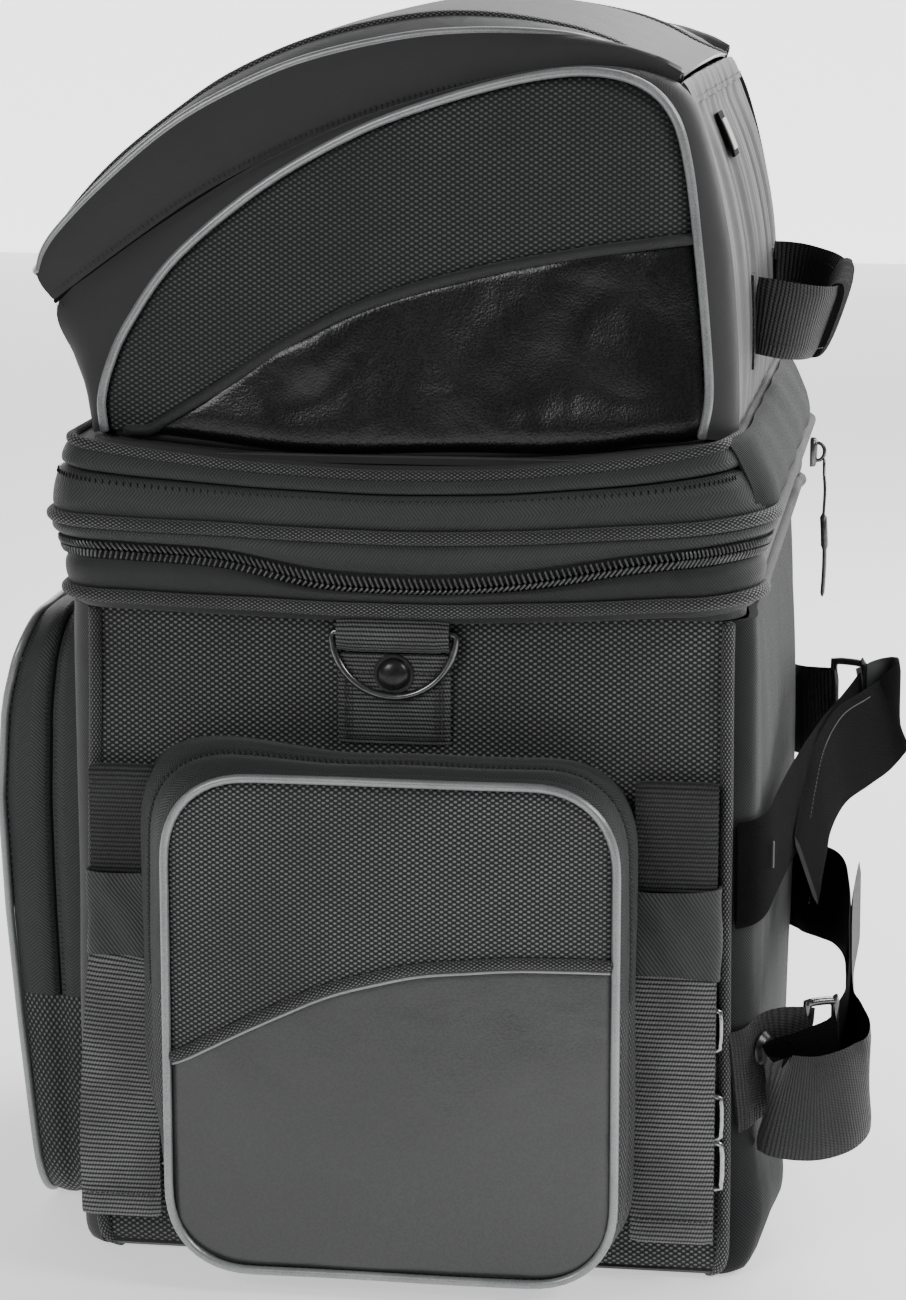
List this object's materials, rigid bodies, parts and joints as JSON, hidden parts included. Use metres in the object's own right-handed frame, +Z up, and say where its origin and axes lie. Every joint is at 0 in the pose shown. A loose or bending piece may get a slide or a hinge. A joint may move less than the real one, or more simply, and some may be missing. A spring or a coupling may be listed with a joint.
{
  "type": "motorcycle tail bag",
  "caption": "Soft tail bag with an expandable pocketed lower case, a hinged lid carrying a smaller curved top bag, and straps for a backrest bar and a rack.",
  "frame": {"origin": "centre of the underside of the lower case", "axes": "+X towards the backrest bar (the vehicle's front), +Y to the vehicle's left, +Z up"},
  "size_m": [0.4229, 0.458, 0.575],
  "materials": {
    "twill": "fine diagonal twill nylon",
    "ballistic": "coarse basket-weave ballistic nylon",
    "leatherette": "semi-gloss grained faux leather",
    "pleated": "coated woven panel with soft vertical pleats",
    "board": "rigid board",
    "black_piping": "woven fabric over cord",
    "silver_piping": "reflective silver grey piping",
    "zip_coil": "moulded coil zipper",
    "zip_metal": "black coated zinc",
    "webbing": "ribbed polypropylene webbing",
    "grip": "padded wrap",
    "hook_loop": "hook-and-loop tape on webbing",
    "dark_metal": "gunmetal plated steel"
  },
  "bodies": {
    "case": {"base_panel": "twill", "base_board": "board", "side_panel_right": "ballistic", "side_panel_left": "ballistic", "front_panel": "twill", "rear_panel": "twill", "body_piping": "black_piping", "lower_band": "twill", "expansion_zip_lower": "zip_coil", "side_pocket_lower_right": "leatherette", "side_pocket_lower_left": "leatherette", "side_pocket_gussets": "twill", "rear_pocket_lower": "leatherette", "rear_pocket_gusset": "twill", "pocket_piping_lower": "silver_piping", "dring_tabs": "webbing", "rivets": "dark_metal", "tie_strap_loops": "webbing", "upper_strap_base": "hook_loop", "lower_strap_base": "hook_loop", "strap_rings": "dark_metal", "strap_ring_tabs": "hook_loop"},
    "expansion": {"expansion_band": "twill", "mid_piping": "black_piping", "expansion_gusset": "ballistic", "expansion_zip_upper": "zip_coil"},
    "expansion_slider": {"expansion_zip_slider": "zip_metal"},
    "expansion_pull": {"expansion_zip_pull": "zip_metal"},
    "main_lid": {"lid_band": "twill", "lid_panel": "ballistic", "lid_stiffener": "board", "top_piping": "black_piping", "lid_hook_strips": "hook_loop", "main_zip_sliders": "zip_metal"},
    "main_pulls": {"main_zip_pulls": "zip_metal"},
    "top_bag": {"top_bag_base": "twill", "top_bag_side_right": "ballistic", "top_bag_side_left": "ballistic", "top_bag_rear_wall": "twill", "top_bag_front_panel": "pleated", "top_bag_piping": "silver_piping", "top_bag_loop_strips": "hook_loop", "handle_anchors": "webbing"},
    "handle": {"handle_strap": "webbing", "handle_grip": "grip"},
    "top_lid": {"top_lid_shell": "leatherette", "top_lid_gussets": "twill", "top_lid_piping": "silver_piping"},
    "top_pull": {"top_zip_pull": "zip_metal"},
    "side_flap_right": {"side_pocket_flap_right": "ballistic"},
    "side_flap_left": {"side_pocket_flap_left": "ballistic"},
    "rear_flap": {"rear_pocket_flap": "ballistic"},
    "dring_right": {"dring_right": "dark_metal"},
    "dring_left": {"dring_left": "dark_metal"},
    "tie_right_front": {"tie_strap_right_front": "webbing"},
    "tie_right_rear": {"tie_strap_right_rear": "webbing"},
    "tie_left_front": {"tie_strap_left_front": "webbing"},
    "tie_left_rear": {"tie_strap_left_rear": "webbing"},
    "upper_flap": {"upper_strap_flap": "hook_loop"},
    "lower_flap": {"lower_strap_flap": "hook_loop"}
  },
  "joints": [
    {"name": "expansion_rise", "type": "slide", "parent": "case", "child": "expansion", "axis": [0, 0, 1], "range_m": [0, 0.05]},
    {"name": "expansion_slider_travel", "type": "slide", "parent": "case", "child": "expansion_slider", "axis": [0, -1, 0], "range_m": [0, 0.25]},
    {"name": "expansion_pull_swing", "type": "hinge", "parent": "expansion_slider", "child": "expansion_pull", "pos_m": [0.1736, 0.12, 0.333], "axis": [0, -1, 0], "range_deg": [0, 100]},
    {"name": "main_lid_open", "type": "hinge", "parent": "expansion", "child": "main_lid", "pos_m": [0.162, 0, 0.362], "axis": [0, 1, 0], "range_deg": [0, 95]},
    {"name": "main_pulls_swing", "type": "hinge", "parent": "main_lid", "child": "main_pulls", "pos_m": [-0.169, 0, 0.368], "axis": [0, 1, 0], "range_deg": [0, 100]},
    {"name": "top_bag_lift", "type": "slide", "parent": "main_lid", "child": "top_bag", "axis": [0, 0, 1], "range_m": [0, 0.12]},
    {"name": "handle_swing", "type": "hinge", "parent": "top_bag", "child": "handle", "pos_m": [0.1475, 0, 0.434], "axis": [0, 1, 0], "range_deg": [-15, 15]},
    {"name": "top_lid_open", "type": "hinge", "parent": "top_bag", "child": "top_lid", "pos_m": [0.121, 0, 0.544], "axis": [0, 1, 0], "range_deg": [0, 80]},
    {"name": "top_pull_swing", "type": "hinge", "parent": "top_lid", "child": "top_pull", "pos_m": [-0.18, 0, 0.455], "axis": [0, 1, 0], "range_deg": [0, 80]},
    {"name": "side_pocket_right_open", "type": "hinge", "parent": "case", "child": "side_flap_right", "pos_m": [0, -0.2262, 0.1348], "axis": [1, 0, 0], "range_deg": [0, 100]},
    {"name": "side_pocket_left_open", "type": "hinge", "parent": "case", "child": "side_flap_left", "pos_m": [0, 0.2262, 0.1348], "axis": [-1, 0, 0], "range_deg": [0, 100]},
    {"name": "rear_pocket_open", "type": "hinge", "parent": "case", "child": "rear_flap", "pos_m": [-0.2062, 0, 0.1008], "axis": [0, -1, 0], "range_deg": [0, 100]},
    {"name": "dring_right_swing", "type": "hinge", "parent": "case", "child": "dring_right", "pos_m": [-0.005, -0.182, 0.298], "axis": [-1, 0, 0], "range_deg": [0, 95]},
    {"name": "dring_left_swing", "type": "hinge", "parent": "case", "child": "dring_left", "pos_m": [-0.005, 0.182, 0.298], "axis": [1, 0, 0], "range_deg": [0, 95]},
    {"name": "tie_right_front_swing", "type": "hinge", "parent": "case", "child": "tie_right_front", "pos_m": [0, -0.1825, 0.146], "axis": [-1, 0, 0], "range_deg": [0, 85]},
    {"name": "tie_right_rear_swing", "type": "hinge", "parent": "case", "child": "tie_right_rear", "pos_m": [0, -0.1825, 0.146], "axis": [-1, 0, 0], "range_deg": [0, 85]},
    {"name": "tie_left_front_swing", "type": "hinge", "parent": "case", "child": "tie_left_front", "pos_m": [0, 0.1825, 0.146], "axis": [1, 0, 0], "range_deg": [0, 85]},
    {"name": "tie_left_rear_swing", "type": "hinge", "parent": "case", "child": "tie_left_rear", "pos_m": [0, 0.1825, 0.146], "axis": [1, 0, 0], "range_deg": [0, 85]},
    {"name": "upper_flap_peel", "type": "hinge", "parent": "case", "child": "upper_flap", "pos_m": [0.194, 0.14, 0.195], "axis": [0, 0, 1], "range_deg": [0, 120]},
    {"name": "lower_flap_peel", "type": "hinge", "parent": "case", "child": "lower_flap", "pos_m": [0.194, -0.14, 0.087], "axis": [0, 0, -1], "range_deg": [0, 120]}
  ]
}
